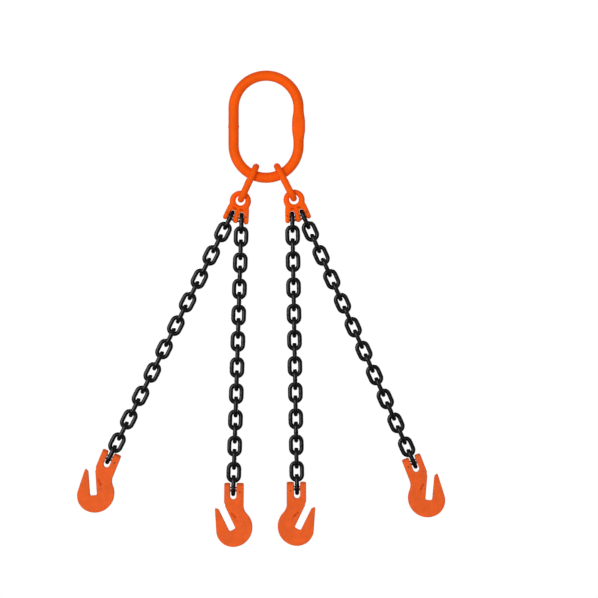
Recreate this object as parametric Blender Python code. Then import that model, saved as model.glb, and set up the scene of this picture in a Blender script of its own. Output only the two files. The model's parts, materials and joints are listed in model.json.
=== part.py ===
"""Four leg chain sling in 8 mm chain, hanging from a crane hook.

A master link carries two intermediate links.  Each of those carries a twin clevis connector,
each connector two chain legs, and each leg ends in a clevis grab hook.

Metres, +Z up.  The origin is where the crane hook bears, at the top of the master link's opening.
The legs hang in the XZ plane, so +Y is the sling's thickness, and the hooks point outwards.
A lean is the angle of a piece from straight down, positive towards +X.
"""

import math
from itertools import accumulate

import bmesh
import bpy
from mathutils import Matrix, Vector

MM = 0.001
GAP = 0.3 * MM  # clearance between pieces that bear on each other
SEAT_GAP = 0.5 * MM  # the same where an intermediate link bears
CUTTER_REACH = 30.0 * MM  # half the length of a cutter that goes right through a piece

# Chain: short link, 8 mm bar, 24 mm pitch
CHAIN_BAR = 8.0 * MM
LINK_INNER_LENGTH = 23.85 * MM
LINK_INNER_WIDTH = 11.5 * MM
LINK_SIDES = 6
LINK_CROWN_STEPS = 4
LINKS_PER_LEG = 21
SEGMENT_LINK_COUNTS = {"inner": (1, 3, 3, 3, 3, 3, 3, 2), "outer": (2, 2, 4, 3, 3, 3, 2, 2)}
SEAT_BITE = 0.4 * MM  # two links of one segment are fused this deep where they bear
JOINTED_PITCH = LINK_INNER_LENGTH - GAP
FUSED_PITCH = LINK_INNER_LENGTH + SEAT_BITE
CROWN_DROP = (LINK_INNER_LENGTH + CHAIN_BAR) / 2  # from a link's centre to its lower crown's bar

# Master link: round bar, with one limb flattened
MASTER_BAR = 19.0 * MM
MASTER_INNER_LENGTH = 168.0 * MM
MASTER_INNER_WIDTH = 100.0 * MM
MASTER_UPPER_STEPS = 8
MASTER_LOWER_STEPS = 14
FLAT_WIDTH = 24.0 * MM
FLAT_THICKNESS = 14.0 * MM
FLAT_CORNER = 4.4 * MM
FLAT_HALF_LENGTH = 14.7 * MM
FLAT_TAPER = 13.7 * MM
WELD_SWELL = 0.5 * MM
WELD_HALF_LENGTH = 1.8 * MM

# Intermediate links
INTERMEDIATE_BAR = 12.0 * MM
INTERMEDIATE_INNER_LENGTH = 54.0 * MM
INTERMEDIATE_INNER_WIDTH = 25.0 * MM
INTERMEDIATE_SIDES = 8
INTERMEDIATE_CROWN_STEPS = 8
INTERMEDIATE_LEAN = {"left": math.radians(-25.0), "right": math.radians(27.5)}

# Twin clevis connectors
EYE_INNER_RADIUS = 9.9 * MM
EYE_OUTER_RADIUS = 19.6 * MM
EYE_HALF_THICKNESS = 6.5 * MM
EYE_STEPS = 16
EYE_BAR_SIDES = 8
CONNECTOR_LEAN = {"left": math.radians(-14.2), "right": math.radians(12.5)}
CLEVIS_SPREAD = math.radians(12.0)  # each clevis from the connector's own centreline
PIN_OFFSET = 10.5 * MM
PIN_REACH = 12.9 * MM  # from the eye's outside down to the load pins
CLEVIS_HALF_SLOT = 4.4 * MM
PRONG_WIDTH = 8.2 * MM
PRONG_HALF_THICKNESS = 9.0 * MM
PRONG_ROOT_HALF_THICKNESS = 4.6 * MM  # inside the eye's own bar
PRONG_CHAMFER = 1.8 * MM
PRONG_COVER = 3.3 * MM  # metal past the load pin at an outer prong's end
MIDDLE_PRONG_WIDTH = 9.6 * MM
MIDDLE_PRONG_COVER = 4.0 * MM
PIN_SEAT_DEPTH = 3.6 * MM  # blind bores in the middle prong
PIN_RECESS = 0.2 * MM  # a load pin's end below the outer prong's face

# Load pins and the spring pins that hold them
PIN_RADIUS = 5.0 * MM
PIN_SIDES = 10
PINNED_DROP = LINK_INNER_LENGTH / 2 - PIN_RADIUS - GAP  # from a load pin to the centre of its link
SPRING_PIN_RADIUS = 1.5 * MM
SPRING_PIN_SIDES = 6
SPRING_PIN_RECESS = 0.5 * MM

# Clevis grab hooks, measured from the load pin
HOOK_LEAN = {
    "outer_left": math.radians(-22.3),
    "inner_left": math.radians(-0.6),
    "inner_right": math.radians(0.2),
    "outer_right": math.radians(21.3),
}
LEG_LEAN = {
    "outer_left": math.radians(-26.7),
    "inner_left": math.radians(-1.75),
    "inner_right": math.radians(1.0),
    "outer_right": math.radians(24.1),
}
CHEEK_TOP = 11.4 * MM
CHEEK_END_RADIUS = 11.9 * MM
CHEEK_POINT_SIDE = -16.7 * MM
CHEEK_BACK_SIDE = 19.1 * MM
CHEEK_ROUNDING = 8.4 * MM  # height of the facet line on the cheeks' round ends
CHEEK_HALF_THICKNESS = 10.0 * MM
HOOK_HALF_SLOT = 5.6 * MM
HOOK_SLOT_DEPTH = 18.3 * MM
HOOK_SLOT_CORNER = 4.5 * MM
HOOK_CHAMFER = 1.8 * MM
NECK_TOP = -20.0 * MM
NECK_BOTTOM = -34.0 * MM
NECK_STEP = ((-16.7 * MM, -25.0 * MM), (-14.6 * MM, -28.5 * MM), (-14.5 * MM, -32.4 * MM))
NECK_FILLET = 22.0 * MM
BOWL_BOTTOM = -106.0 * MM
BOWL_BACK_RADIUS = 35.7 * MM
BOWL_POINT_RADIUS = 30.6 * MM
BOWL_HALF_THICKNESS = 8.5 * MM
THROAT_WIDTH = 12.6 * MM
THROAT_LEAN = math.radians(26.4)
THROAT_BOTTOM = (-1.0 * MM, -74.4 * MM)
THROAT_CORNER = 2.4 * MM
POINT_TOP = -35.2 * MM
POINT_BASE = -66.0 * MM
POINT_OUTER = -33.4 * MM
POINT_TIP_WIDTH = 4.2 * MM
POINT_CORNER = 1.7 * MM
POINT_HALF_THICKNESS = 5.5 * MM

DOWN = Vector((0, 0, -1))
THICKNESS = Vector((0, 1, 0))


def hanging(lean):
    """Turns a piece drawn straight down so that it hangs at the lean."""
    return Matrix.Rotation(-lean, 4, "Y")


def paint(name, colour, roughness, metallic):
    material = bpy.data.materials.new(name)
    material.use_nodes = True
    shader = material.node_tree.nodes["Principled BSDF"]
    shader.inputs["Base Color"].default_value = (*colour, 1.0)
    shader.inputs["Roughness"].default_value = roughness
    shader.inputs["Metallic"].default_value = metallic
    material.diffuse_color = (*colour, 1.0)
    return material


# ---- mesh building -------------------------------------------------------------------------


def finish_mesh(name, shape):
    bmesh.ops.recalc_face_normals(shape, faces=shape.faces)
    mesh = bpy.data.meshes.new(name)
    shape.to_mesh(mesh)
    shape.free()
    return mesh


def bridge(shape, ring, next_ring):
    count = len(ring)
    for here in range(count):
        there = (here + 1) % count
        shape.faces.new((ring[here], ring[there], next_ring[there], next_ring[here]))


def loft(name, rings, closed):
    """Skins rings of points.  A closed loft joins its last ring to its first, an open one is capped."""
    shape = bmesh.new()
    sections = [[shape.verts.new(point) for point in ring] for ring in rings]
    for ring, next_ring in zip(sections, sections[1:]):
        bridge(shape, ring, next_ring)
    if closed:
        bridge(shape, sections[-1], sections[0])
    else:
        shape.faces.new(sections[0])
        shape.faces.new(sections[-1])
    return finish_mesh(name, shape)


def combine(base, tool, operation):
    """The mesh that a Boolean leaves when the tool is joined to the base or cut from it."""
    subject = bpy.data.objects.new("subject", base)
    cutter = bpy.data.objects.new("cutter", tool)
    for item in (subject, cutter):
        bpy.context.scene.collection.objects.link(item)
    boolean = subject.modifiers.new("boolean", "BOOLEAN")
    boolean.operation = operation
    boolean.solver = "EXACT"
    boolean.object = cutter
    result = bpy.data.meshes.new_from_object(subject.evaluated_get(bpy.context.evaluated_depsgraph_get()))
    for item in (subject, cutter):
        bpy.data.objects.remove(item)
    return result


def moved(mesh, matrix):
    copy = mesh.copy()
    copy.transform(matrix)
    return copy


def cylinder(radius, sides, start, end):
    """A round bar from start to end, along X or Y."""
    axis = (end - start).normalized()
    across = axis.cross(DOWN)
    other = axis.cross(across)
    turns = [math.tau * step / sides for step in range(sides)]
    rim = [across * (radius * math.cos(turn)) + other * (radius * math.sin(turn)) for turn in turns]
    return loft("bar", [[start + point for point in rim], [end + point for point in rim]], closed=False)


def spring_pin_hole(centre):
    """A cutter along Y for the hole of a spring pin."""
    reach = THICKNESS * CUTTER_REACH
    return cylinder(SPRING_PIN_RADIUS + GAP, SPRING_PIN_SIDES, centre - reach, centre + reach)


def stadium(straight, radius, upper_steps, lower_steps):
    """Points round a stadium in the XZ plane, each with its outward direction."""
    route = []
    for end, steps in ((1, upper_steps), (-1, lower_steps)):
        for step in range(steps + 1):
            turn = math.pi * step / steps
            outward = Vector((math.cos(turn), 0, math.sin(turn))) * end
            route.append((outward * radius + Vector((0, 0, end * straight / 2)), outward))
    return route


def chain_ring(name, bar, inner_length, inner_width, sides, steps):
    """A welded link of round bar, upright in the XZ plane and centred on the origin."""
    route = stadium(inner_length - inner_width, (inner_width + bar) / 2, steps, steps)
    turns = [math.tau * side / sides for side in range(sides)]
    rings = [
        [
            centre + (outward * math.cos(turn) + THICKNESS * math.sin(turn)) * (bar / 2)
            for turn in turns
        ]
        for centre, outward in route
    ]
    return loft(name, rings, closed=True)


# ---- chain ---------------------------------------------------------------------------------


def segment_spans(row):
    """The first and last link numbers of each segment, down a leg of the inner or outer row."""
    counts = SEGMENT_LINK_COUNTS[row]
    return [(last - count + 1, last) for count, last in zip(counts, accumulate(counts))]


def first_drop(first):
    """From a segment's hinge to its first link's centre.  The first link of a leg hangs on a load pin."""
    if first == 1:
        return PINNED_DROP
    return JOINTED_PITCH - CROWN_DROP


def hinge_drop(first, last):
    """From a segment's hinge to the hinge of the next piece, which for the last link is a load pin."""
    below = PINNED_DROP if last == LINKS_PER_LEG else CROWN_DROP
    return first_drop(first) + (last - first) * FUSED_PITCH + below


def chain_segment(first, last):
    """Links first to last, hanging below their hinge.  Odd links lie edge on.

    A segment that starts with an odd link swings across the legs' plane, any other one in it.
    """
    link = chain_ring("link", CHAIN_BAR, LINK_INNER_LENGTH, LINK_INNER_WIDTH, LINK_SIDES, LINK_CROWN_STEPS)
    segment = None
    for number in range(first, last + 1):
        drop = first_drop(first) + (number - first) * FUSED_PITCH
        turn = Matrix.Rotation(math.radians(90.0 * (number % 2)), 4, "Z")
        placed = moved(link, Matrix.Translation(DOWN * drop) @ turn)
        segment = combine(segment, placed, "UNION") if segment else placed
    segment.name = f"chain_links_{first}_to_{last}"
    return segment


# ---- master link and intermediate links ------------------------------------------------------


def smoothstep(value):
    value = min(max(value, 0.0), 1.0)
    return value * value * (3 - 2 * value)


def master_section(flatness, swell):
    """Twelve points (outward, thickness) that run from a round bar to a flattened one."""
    points = []
    for quarter in range(4):
        for third in range(3):
            turn = math.radians(90 * quarter + 15 + 30 * third)
            radius = MASTER_BAR / 2 + swell
            on_round = Vector((math.cos(turn), math.sin(turn))) * radius
            corner_turn = math.radians(90 * quarter + 45 * third)
            corner = Vector((
                math.copysign(FLAT_WIDTH / 2 - FLAT_CORNER, on_round.x),
                math.copysign(FLAT_THICKNESS / 2 - FLAT_CORNER, on_round.y),
            ))
            on_flat = corner + Vector((math.cos(corner_turn), math.sin(corner_turn))) * FLAT_CORNER
            points.append(on_round.lerp(on_flat, flatness))
    return points


def master_link():
    """A stadium of round bar.  Its +X limb is flattened, and its -X limb carries the weld."""
    straight = MASTER_INNER_LENGTH - MASTER_INNER_WIDTH
    radius = (MASTER_INNER_WIDTH + MASTER_BAR) / 2
    route = stadium(straight, radius, MASTER_UPPER_STEPS, MASTER_LOWER_STEPS)
    arc_points = MASTER_UPPER_STEPS + 1
    stations = [(centre, outward, 0.0, 0.0) for centre, outward in route[:arc_points]]
    for height, swell in ((1, 0.0), (0, WELD_SWELL), (-1, 0.0)):
        centre = Vector((-radius, 0, height * WELD_HALF_LENGTH))
        stations.append((centre, Vector((-1, 0, 0)), 0.0, swell))
    stations += [(centre, outward, 0.0, 0.0) for centre, outward in route[arc_points:]]
    taper = [(FLAT_HALF_LENGTH + FLAT_TAPER * step / 3, smoothstep(1 - step / 3)) for step in range(4)]
    limb = [(-height, flatness) for height, flatness in reversed(taper)] + taper
    for height, flatness in limb:
        stations.append((Vector((radius, 0, height)), Vector((1, 0, 0)), flatness, 0.0))
    rings = [
        [centre + outward * point.x + THICKNESS * point.y for point in master_section(flatness, swell)]
        for centre, outward, flatness, swell in stations
    ]
    mesh = loft("master_link", rings, closed=True)
    mesh.transform(Matrix.Translation(DOWN * (MASTER_INNER_LENGTH / 2)))
    return mesh


def intermediate_link():
    """A plain link in the YZ plane, below the bar of the master link that it hangs on."""
    ring = chain_ring("intermediate_link", INTERMEDIATE_BAR, INTERMEDIATE_INNER_LENGTH,
                      INTERMEDIATE_INNER_WIDTH, INTERMEDIATE_SIDES, INTERMEDIATE_CROWN_STEPS)
    edge_on = Matrix.Rotation(math.radians(90.0), 4, "Z")
    upper_crown = SEAT_GAP + (MASTER_BAR + INTERMEDIATE_BAR) / 2
    drop = (INTERMEDIATE_INNER_LENGTH + INTERMEDIATE_BAR) / 2 - upper_crown
    ring.transform(Matrix.Translation(DOWN * drop) @ edge_on)
    return ring


INTERMEDIATE_LENGTH = INTERMEDIATE_INNER_LENGTH + INTERMEDIATE_BAR / 2 - MASTER_BAR / 2 - SEAT_GAP


# ---- twin clevis connector -------------------------------------------------------------------

EYE_DROP = (EYE_INNER_RADIUS + EYE_OUTER_RADIUS) / 2  # from the hinge, in the eye's own bar, to its centre
EYE_HINGE_RISE = EYE_DROP - EYE_INNER_RADIUS + INTERMEDIATE_BAR / 2 + SEAT_GAP  # above the bar it sits on
PIN_DROP = EYE_OUTER_RADIUS + PIN_REACH


def eye_ring():
    """The connector's eye: a ring of oval bar, so that it seats in the crown of a link."""
    middle = (EYE_INNER_RADIUS + EYE_OUTER_RADIUS) / 2
    half_width = (EYE_OUTER_RADIUS - EYE_INNER_RADIUS) / 2
    turns = [math.tau * side / EYE_BAR_SIDES for side in range(EYE_BAR_SIDES)]
    rings = []
    for step in range(EYE_STEPS):
        around = math.tau * step / EYE_STEPS
        outward = Vector((math.cos(around), 0, math.sin(around)))
        rings.append([
            outward * (middle + half_width * math.cos(turn))
            + THICKNESS * (EYE_HALF_THICKNESS * math.sin(turn))
            for turn in turns
        ])
    return loft("eye", rings, closed=True)


def lug(stations):
    """A bar with chamfered corners that runs down through (drop, half width, half thickness)."""
    rings = []
    for drop, half_width, half_thickness in stations:
        corner = min(PRONG_CHAMFER, half_width * 0.6)
        wide, narrow = half_width, half_width - corner
        thick, thin = half_thickness, half_thickness - corner
        outline = ((wide, thin), (narrow, thick), (-narrow, thick), (-wide, thin),
                   (-wide, -thin), (-narrow, -thick), (narrow, -thick), (wide, -thin))
        rings.append([Vector((x, y, -drop)) for x, y in outline])
    return loft("lug", rings, closed=False)


def prong_end(tip, half):
    """Stations of a prong's rounded end, down to its tip."""
    return (
        (tip - 5.0 * MM, half, PRONG_HALF_THICKNESS),
        (tip - 1.4 * MM, half * 0.8, PRONG_HALF_THICKNESS * 0.76),
        (tip, half * 0.42, PRONG_HALF_THICKNESS * 0.5),
    )


def outer_prong():
    """Runs down beside the load pin, which is at the origin, and ends round it."""
    half = PRONG_WIDTH / 2
    stations = (
        (-24.5 * MM, half * 0.8, PRONG_ROOT_HALF_THICKNESS),
        (-17.0 * MM, half, EYE_HALF_THICKNESS),
        (-6.0 * MM, half, PRONG_HALF_THICKNESS),
        *prong_end(PIN_RADIUS + PRONG_COVER, half),
    )
    prong = lug(stations)
    prong.transform(Matrix.Translation((CLEVIS_HALF_SLOT + half, 0, 0)))
    return prong


def middle_prong():
    """Stands between the two clevises, and widens down to where the load pins seat in it."""
    half = MIDDLE_PRONG_WIDTH / 2
    stations = (
        (EYE_OUTER_RADIUS - 5.5 * MM, half * 0.66, PRONG_ROOT_HALF_THICKNESS),
        (EYE_OUTER_RADIUS, half * 0.66, EYE_HALF_THICKNESS),
        (EYE_OUTER_RADIUS + 7.0 * MM, half * 0.96, PRONG_HALF_THICKNESS),
        *prong_end(PIN_DROP + PIN_RADIUS + MIDDLE_PRONG_COVER, half),
    )
    return lug(stations)


def clevis_pin_place(side):
    """Where a load pin lies on the connector.  Side 1 is the clevis towards +X, side -1 the other."""
    return Vector((side * PIN_OFFSET, 0, -EYE_DROP - PIN_DROP))


def clevis_frame(side):
    """Places what is drawn about a load pin at the origin on its side of the connector."""
    return Matrix.Translation(clevis_pin_place(side)) @ hanging(side * CLEVIS_SPREAD)


def mirrored(mesh):
    """The same piece with -X for +X, its faces turned to point out again."""
    copy = moved(mesh, Matrix.Diagonal((-1, 1, 1, 1)))
    copy.flip_normals()
    return copy


CONNECTOR_PIN_START = -(CLEVIS_HALF_SLOT + PIN_SEAT_DEPTH)
CONNECTOR_PIN_END = CLEVIS_HALF_SLOT + PRONG_WIDTH - PIN_RECESS
CONNECTOR_SPRING_PIN = Vector((CLEVIS_HALF_SLOT + PRONG_WIDTH / 2, 0, PIN_RADIUS))


def twin_clevis():
    """The eye, three prongs, and the bores for two load pins and the spring pins across them."""
    body = eye_ring()
    body.transform(Matrix.Translation(DOWN * EYE_DROP))
    body = combine(body, moved(middle_prong(), Matrix.Translation(DOWN * EYE_DROP)), "UNION")
    for side in (1, -1):
        prong = outer_prong() if side == 1 else mirrored(outer_prong())
        body = combine(body, moved(prong, clevis_frame(side)), "UNION")
    for side in (1, -1):
        bore = cylinder(PIN_RADIUS + GAP, PIN_SIDES,
                        Vector((side * (CONNECTOR_PIN_START - GAP), 0, 0)),
                        Vector((side * CUTTER_REACH, 0, 0)))
        body = combine(body, moved(bore, clevis_frame(side)), "DIFFERENCE")
        hole = spring_pin_hole(Vector((side * CONNECTOR_SPRING_PIN.x, 0, CONNECTOR_SPRING_PIN.z)))
        body = combine(body, moved(hole, clevis_frame(side)), "DIFFERENCE")
    body.name = "twin_clevis"
    return body


# ---- pins ------------------------------------------------------------------------------------


def load_pin(start, end, notch):
    """A load pin along X with the notch that its spring pin crosses."""
    pin = cylinder(PIN_RADIUS, PIN_SIDES, Vector((start, 0, 0)), Vector((end, 0, 0)))
    pin = combine(pin, spring_pin_hole(notch), "DIFFERENCE")
    pin.name = "load_pin"
    return pin


def spring_pin(half_thickness):
    """A spring pin along Y, through a piece of this half thickness."""
    reach = THICKNESS * (half_thickness - SPRING_PIN_RECESS)
    pin = cylinder(SPRING_PIN_RADIUS, SPRING_PIN_SIDES, -reach, reach)
    pin.name = "spring_pin"
    return pin


# ---- clevis grab hook ------------------------------------------------------------------------


def arc(centre, radius, start, end, steps):
    """Points on an arc about centre (x, z), angles in degrees from +X."""
    turns = [math.radians(start + (end - start) * step / steps) for step in range(steps + 1)]
    return [(centre[0] + radius * math.cos(turn), centre[1] + radius * math.sin(turn)) for turn in turns]


def throat_point(along, across):
    """A point measured from the throat's flat bottom, up the throat and towards the neck."""
    lean = THROAT_LEAN
    x = THROAT_BOTTOM[0] - along * math.sin(lean) + across * math.cos(lean)
    z = THROAT_BOTTOM[1] + along * math.cos(lean) + across * math.sin(lean)
    return x, z


def clevis_outline():
    """Both cheeks and the slot between them, from the back cheek round to the point side."""
    slot = HOOK_HALF_SLOT
    cut = HOOK_CHAMFER
    floor = -HOOK_SLOT_DEPTH + HOOK_SLOT_CORNER
    back = [(CHEEK_BACK_SIDE, CHEEK_TOP - cut), (CHEEK_BACK_SIDE - cut, CHEEK_TOP)]
    back += [(slot + cut, CHEEK_TOP), (slot, CHEEK_TOP - cut)]
    bottom = arc((slot - HOOK_SLOT_CORNER, floor), HOOK_SLOT_CORNER, 0, -90, 2)
    bottom += arc((HOOK_SLOT_CORNER - slot, floor), HOOK_SLOT_CORNER, -90, -180, 2)
    front = [(-slot, CHEEK_TOP - cut), (-slot - cut, CHEEK_TOP)]
    front += [(CHEEK_POINT_SIDE + cut, CHEEK_TOP), (CHEEK_POINT_SIDE, CHEEK_TOP - cut)]
    return back + bottom + front


def throat_outline():
    """From the step below the point-side cheek, down the neck, round the throat and up to the point."""
    half = THROAT_WIDTH / 2
    lean = math.degrees(THROAT_LEAN)
    inner_corner = throat_point(THROAT_CORNER, half - THROAT_CORNER)
    outer_corner = throat_point(THROAT_CORNER, THROAT_CORNER - half)
    bottom = arc(inner_corner, THROAT_CORNER, lean, lean - 90, 2)
    bottom += arc(outer_corner, THROAT_CORNER, lean - 90, lean - 180, 2)
    rise = (POINT_TOP - POINT_CORNER - throat_point(0, -half)[1]) / math.cos(THROAT_LEAN)
    point = [throat_point(rise, -half), (POINT_OUTER + POINT_TIP_WIDTH, POINT_TOP)]
    point += [(POINT_OUTER + POINT_CORNER, POINT_TOP), (POINT_OUTER, POINT_TOP - POINT_CORNER)]
    return list(NECK_STEP) + bottom + point


def bowl_outline():
    """Round the bowl from the point to the back, then up the hollow of the neck."""
    point_centre = (0.0, BOWL_BOTTOM + BOWL_POINT_RADIUS)
    back_centre = (0.0, BOWL_BOTTOM + BOWL_BACK_RADIUS)
    fillet_x = CHEEK_BACK_SIDE + NECK_FILLET
    fillet_rise = math.sqrt((BOWL_BACK_RADIUS + NECK_FILLET) ** 2 - fillet_x ** 2)
    meet = math.degrees(math.atan2(fillet_rise, fillet_x))
    fillet_centre = (fillet_x, back_centre[1] + fillet_rise)
    bowl = arc(point_centre, BOWL_POINT_RADIUS, 184, 270, 5)
    bowl += arc(back_centre, BOWL_BACK_RADIUS, 270, 360 + meet, 8)[1:]
    return bowl + arc(fillet_centre, NECK_FILLET, 180 + meet, 180, 2)[1:]


def hook_half_thickness(x, z):
    """Round cheek ends, a thick clevis, a thinner bowl and a point that thins towards its tip."""
    if z > 0:
        return min(CHEEK_HALF_THICKNESS, math.sqrt(CHEEK_END_RADIUS ** 2 - z ** 2))
    if z > NECK_BOTTOM:
        share = min(1.0, (z - NECK_BOTTOM) / (NECK_TOP - NECK_BOTTOM))
        return BOWL_HALF_THICKNESS + (CHEEK_HALF_THICKNESS - BOWL_HALF_THICKNESS) * share
    throat_x = THROAT_BOTTOM[0] - (z - THROAT_BOTTOM[1]) * math.tan(THROAT_LEAN)
    if x < throat_x and z > POINT_BASE:
        share = (z - POINT_BASE) / (POINT_TOP - POINT_BASE)
        return BOWL_HALF_THICKNESS + (POINT_HALF_THICKNESS - BOWL_HALF_THICKNESS) * share
    return BOWL_HALF_THICKNESS


def hook_blank():
    """The outline as a plate with chamfered rims, brought to its varying thickness.

    While it is cut, a vertex is at y = 1 on the plate's faces and at y = 0 on their rims, and the
    back half is the front's mirror image.
    """
    shape = bmesh.new()
    outline = clevis_outline() + throat_outline() + bowl_outline()
    face = shape.faces.new([shape.verts.new((x, 0.0, z)) for x, z in outline])
    shape.normal_update()
    bmesh.ops.inset_individual(shape, faces=[face], thickness=HOOK_CHAMFER, use_even_offset=True)
    for vert in face.verts:
        vert.co.y = 1.0
    cheek_square = math.sqrt(CHEEK_END_RADIUS ** 2 - CHEEK_HALF_THICKNESS ** 2)
    for level in (CHEEK_ROUNDING, cheek_square, NECK_TOP, NECK_BOTTOM, POINT_BASE):
        everything = shape.verts[:] + shape.edges[:] + shape.faces[:]
        bmesh.ops.bisect_plane(shape, geom=everything, dist=1e-6, plane_co=(0, 0, level), plane_no=(0, 0, 1))
    for vert in shape.verts:
        vert.co.y = hook_half_thickness(vert.co.x, vert.co.z) - HOOK_CHAMFER * (1.0 - vert.co.y)
    rim = [edge for edge in shape.edges if edge.is_boundary]
    half = shape.verts[:] + shape.edges[:] + shape.faces[:]
    other_half = bmesh.ops.duplicate(shape, geom=half)
    for vert in (item for item in other_half["geom"] if isinstance(item, bmesh.types.BMVert)):
        vert.co.y *= -1.0
    opposite = [other_half["edge_map"][edge] for edge in rim]
    bmesh.ops.bridge_loops(shape, edges=rim + opposite)
    return finish_mesh("hook", shape)


HOOK_PIN_START = CHEEK_POINT_SIDE + PIN_RECESS
HOOK_PIN_END = CHEEK_BACK_SIDE - PIN_RECESS
HOOK_SPRING_PIN = Vector(((HOOK_HALF_SLOT + CHEEK_BACK_SIDE) / 2, 0, -PIN_RADIUS))


def grab_hook():
    body = hook_blank()
    bore = cylinder(PIN_RADIUS + GAP, PIN_SIDES,
                    Vector((-CUTTER_REACH, 0, 0)), Vector((CUTTER_REACH, 0, 0)))
    body = combine(body, bore, "DIFFERENCE")
    body = combine(body, spring_pin_hole(HOOK_SPRING_PIN), "DIFFERENCE")
    body.name = "grab_hook"
    return body


# ---- assembly --------------------------------------------------------------------------------


def place(name, mesh, parent, location, lean=0.0, turned=False):
    """One named sub-part, hung from its parent.  Its lean is measured from the parent's own.

    A turned piece is turned round to face -X, and then hung at its lean.
    """
    piece = bpy.data.objects.new(name, mesh)
    bpy.context.scene.collection.objects.link(piece)
    piece.parent = parent
    piece.location = location
    piece.rotation_euler = (0.0, lean, math.pi) if turned else (0.0, -lean, 0.0)
    return piece


def finished(mesh, material):
    mesh.materials.clear()
    mesh.materials.append(material)
    mesh.shade_smooth()
    mesh.set_sharp_from_angle(angle=math.radians(40))
    return mesh


def make_parts():
    """One mesh for each kind of piece, in its own material."""
    upper_paint = paint("upper_fitting_paint", (0.93, 0.10, 0.008), 0.42, 0.0)
    hook_paint = paint("hook_paint", (0.80, 0.11, 0.02), 0.50, 0.0)
    chain_black = paint("black_chain_finish", (0.015, 0.015, 0.017), 0.30, 0.6)
    pin_steel = paint("load_pin_steel", (0.40, 0.38, 0.36), 0.35, 0.9)
    spring_steel = paint("spring_pin_steel", (0.16, 0.15, 0.15), 0.40, 0.9)
    spans = sorted({*segment_spans("inner"), *segment_spans("outer")})
    chain = {span: finished(chain_segment(*span), chain_black) for span in spans}
    connector_pin = (CONNECTOR_PIN_START, CONNECTOR_PIN_END, CONNECTOR_SPRING_PIN)
    return {
        "master_link": finished(master_link(), upper_paint),
        "intermediate_link": finished(intermediate_link(), upper_paint),
        "twin_clevis": finished(twin_clevis(), upper_paint),
        "clevis_pin": finished(load_pin(*connector_pin), pin_steel),
        "clevis_spring_pin": finished(spring_pin(PRONG_HALF_THICKNESS), spring_steel),
        "chain": chain,
        "hook": finished(grab_hook(), hook_paint),
        "hook_pin": finished(load_pin(HOOK_PIN_START, HOOK_PIN_END, HOOK_SPRING_PIN), pin_steel),
        "hook_spring_pin": finished(spring_pin(CHEEK_HALF_THICKNESS), spring_steel),
    }


def place_pins(name, parent, location, lean, turned, pin, spring_pin_mesh, spring_place):
    """A load pin and the spring pin that crosses it."""
    bar = place(f"{name}_pin", pin, parent, location, lean, turned)
    place(f"{name}_spring_pin", spring_pin_mesh, bar, spring_place)


def place_leg(row, hand, connector, side, parts):
    """Load pins, chain and hook of one leg.  Side 1 is the connector's clevis towards +X."""
    leg = f"{row}_{hand}"
    clevis = clevis_pin_place(side)
    place_pins(f"clevis_{leg}", connector, clevis, side * CLEVIS_SPREAD, side < 0,
               parts["clevis_pin"], parts["clevis_spring_pin"], CONNECTOR_SPRING_PIN)
    parent, location, lean = connector, clevis, LEG_LEAN[leg] - CONNECTOR_LEAN[hand]
    for number, span in enumerate(segment_spans(row), start=1):
        parent = place(f"chain_{leg}_{number}", parts["chain"][span], parent, location, lean)
        location, lean = DOWN * hinge_drop(*span), 0.0
    hook = place(f"hook_{leg}", parts["hook"], parent, location, HOOK_LEAN[leg] - LEG_LEAN[leg],
                 turned=hand == "right")
    place_pins(f"hook_{leg}", hook, Vector(), 0.0, False,
               parts["hook_pin"], parts["hook_spring_pin"], HOOK_SPRING_PIN)


def assemble(parts):
    master = place("master_link", parts["master_link"], None, Vector())
    arc_centre = DOWN * (MASTER_INNER_LENGTH - MASTER_INNER_WIDTH / 2)
    for hand in ("left", "right"):
        lean = INTERMEDIATE_LEAN[hand]
        seat = arc_centre + hanging(lean) @ (DOWN * ((MASTER_INNER_WIDTH + MASTER_BAR) / 2))
        link = place(f"intermediate_link_{hand}", parts["intermediate_link"], master, seat, lean)
        eye_lean = CONNECTOR_LEAN[hand] - lean
        hinge = DOWN * INTERMEDIATE_LENGTH - hanging(eye_lean) @ (DOWN * EYE_HINGE_RISE)
        connector = place(f"twin_clevis_{hand}", parts["twin_clevis"], link, hinge, eye_lean)
        inner_side = 1 if hand == "left" else -1
        place_leg("outer", hand, connector, -inner_side, parts)
        place_leg("inner", hand, connector, inner_side, parts)


def main():
    for leftover in list(bpy.data.objects):
        bpy.data.objects.remove(leftover)
    assemble(make_parts())


main()
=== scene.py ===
"""Four leg chain sling: the forged, welded and painted pieces that dress its CAD frame.

Lengths are metres, +Z is up, and the legs hang in the XZ plane.  Each piece is drawn in the frame
of the joint that carries it, with that joint at the origin and the piece hanging down -Z, and is
then placed.
"""

import json
import math

import bmesh
import bpy
from mathutils import Matrix, Vector


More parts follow.
